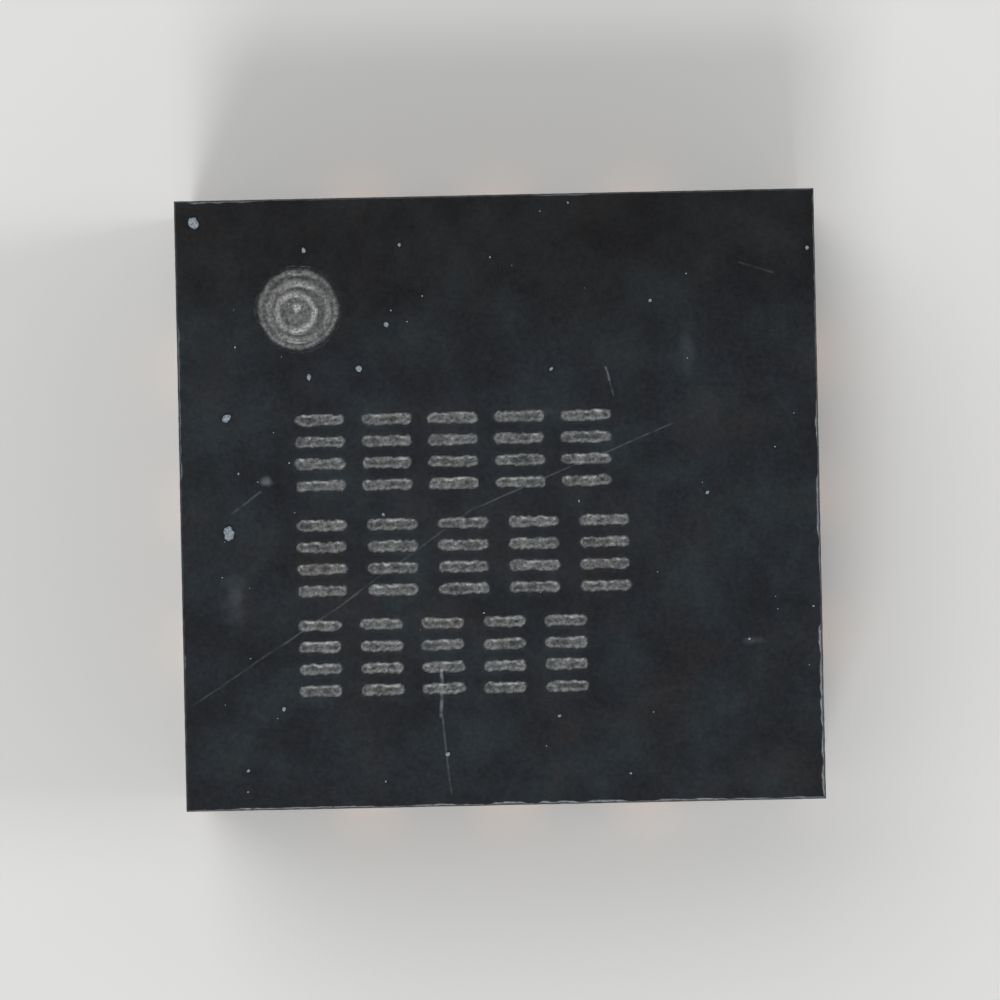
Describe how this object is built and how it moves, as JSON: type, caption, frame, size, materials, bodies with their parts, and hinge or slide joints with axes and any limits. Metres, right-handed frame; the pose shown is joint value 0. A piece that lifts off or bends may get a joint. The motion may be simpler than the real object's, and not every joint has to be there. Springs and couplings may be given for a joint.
{
  "type": "integrated circuit",
  "caption": "Moulded leadless integrated circuit: black epoxy body with marked top and pin 1 dot, copper lands and exposed pad underneath, and a wired silicon die inside.",
  "frame": {"origin": "middle of the outline, in the plane where the lands meet the board", "axes": "+X along the longer side, to the right when the marking reads upright; +Y towards the side beside pin 1's end of the row, up the top face; +Z out of the marked top face"},
  "size_m": [0.0022, 0.002, 0.0008],
  "materials": {
    "moulding_compound": "satin, filled black epoxy, laser marked",
    "leadframe_copper": "etched copper alloy, matt tin on the lands, silver on the bonding spots",
    "die_attach_epoxy": "cured silver-filled epoxy",
    "silicon": "diced silicon, polished circuit side",
    "gold_wire": "bright drawn wire"
  },
  "bodies": {
    "root": {"mould_body": "moulding_compound", "die_paddle": "leadframe_copper", "die_attach": "die_attach_epoxy", "die": "silicon", "lead_01": "leadframe_copper", "lead_02": "leadframe_copper", "lead_03": "leadframe_copper", "lead_04": "leadframe_copper", "lead_05": "leadframe_copper", "lead_06": "leadframe_copper", "lead_07": "leadframe_copper", "lead_08": "leadframe_copper", "lead_09": "leadframe_copper", "lead_10": "leadframe_copper", "lead_11": "leadframe_copper", "lead_12": "leadframe_copper", "bond_wire_01": "gold_wire", "bond_wire_02": "gold_wire", "bond_wire_03": "gold_wire", "bond_wire_04": "gold_wire", "bond_wire_05": "gold_wire", "bond_wire_06": "gold_wire", "bond_wire_07": "gold_wire", "bond_wire_08": "gold_wire", "bond_wire_09": "gold_wire", "bond_wire_10": "gold_wire", "bond_wire_11": "gold_wire", "bond_wire_12": "gold_wire", "ground_wire_01": "gold_wire", "ground_wire_02": "gold_wire", "ground_wire_03": "gold_wire", "ground_wire_04": "gold_wire"}
  },
  "joints": []
}
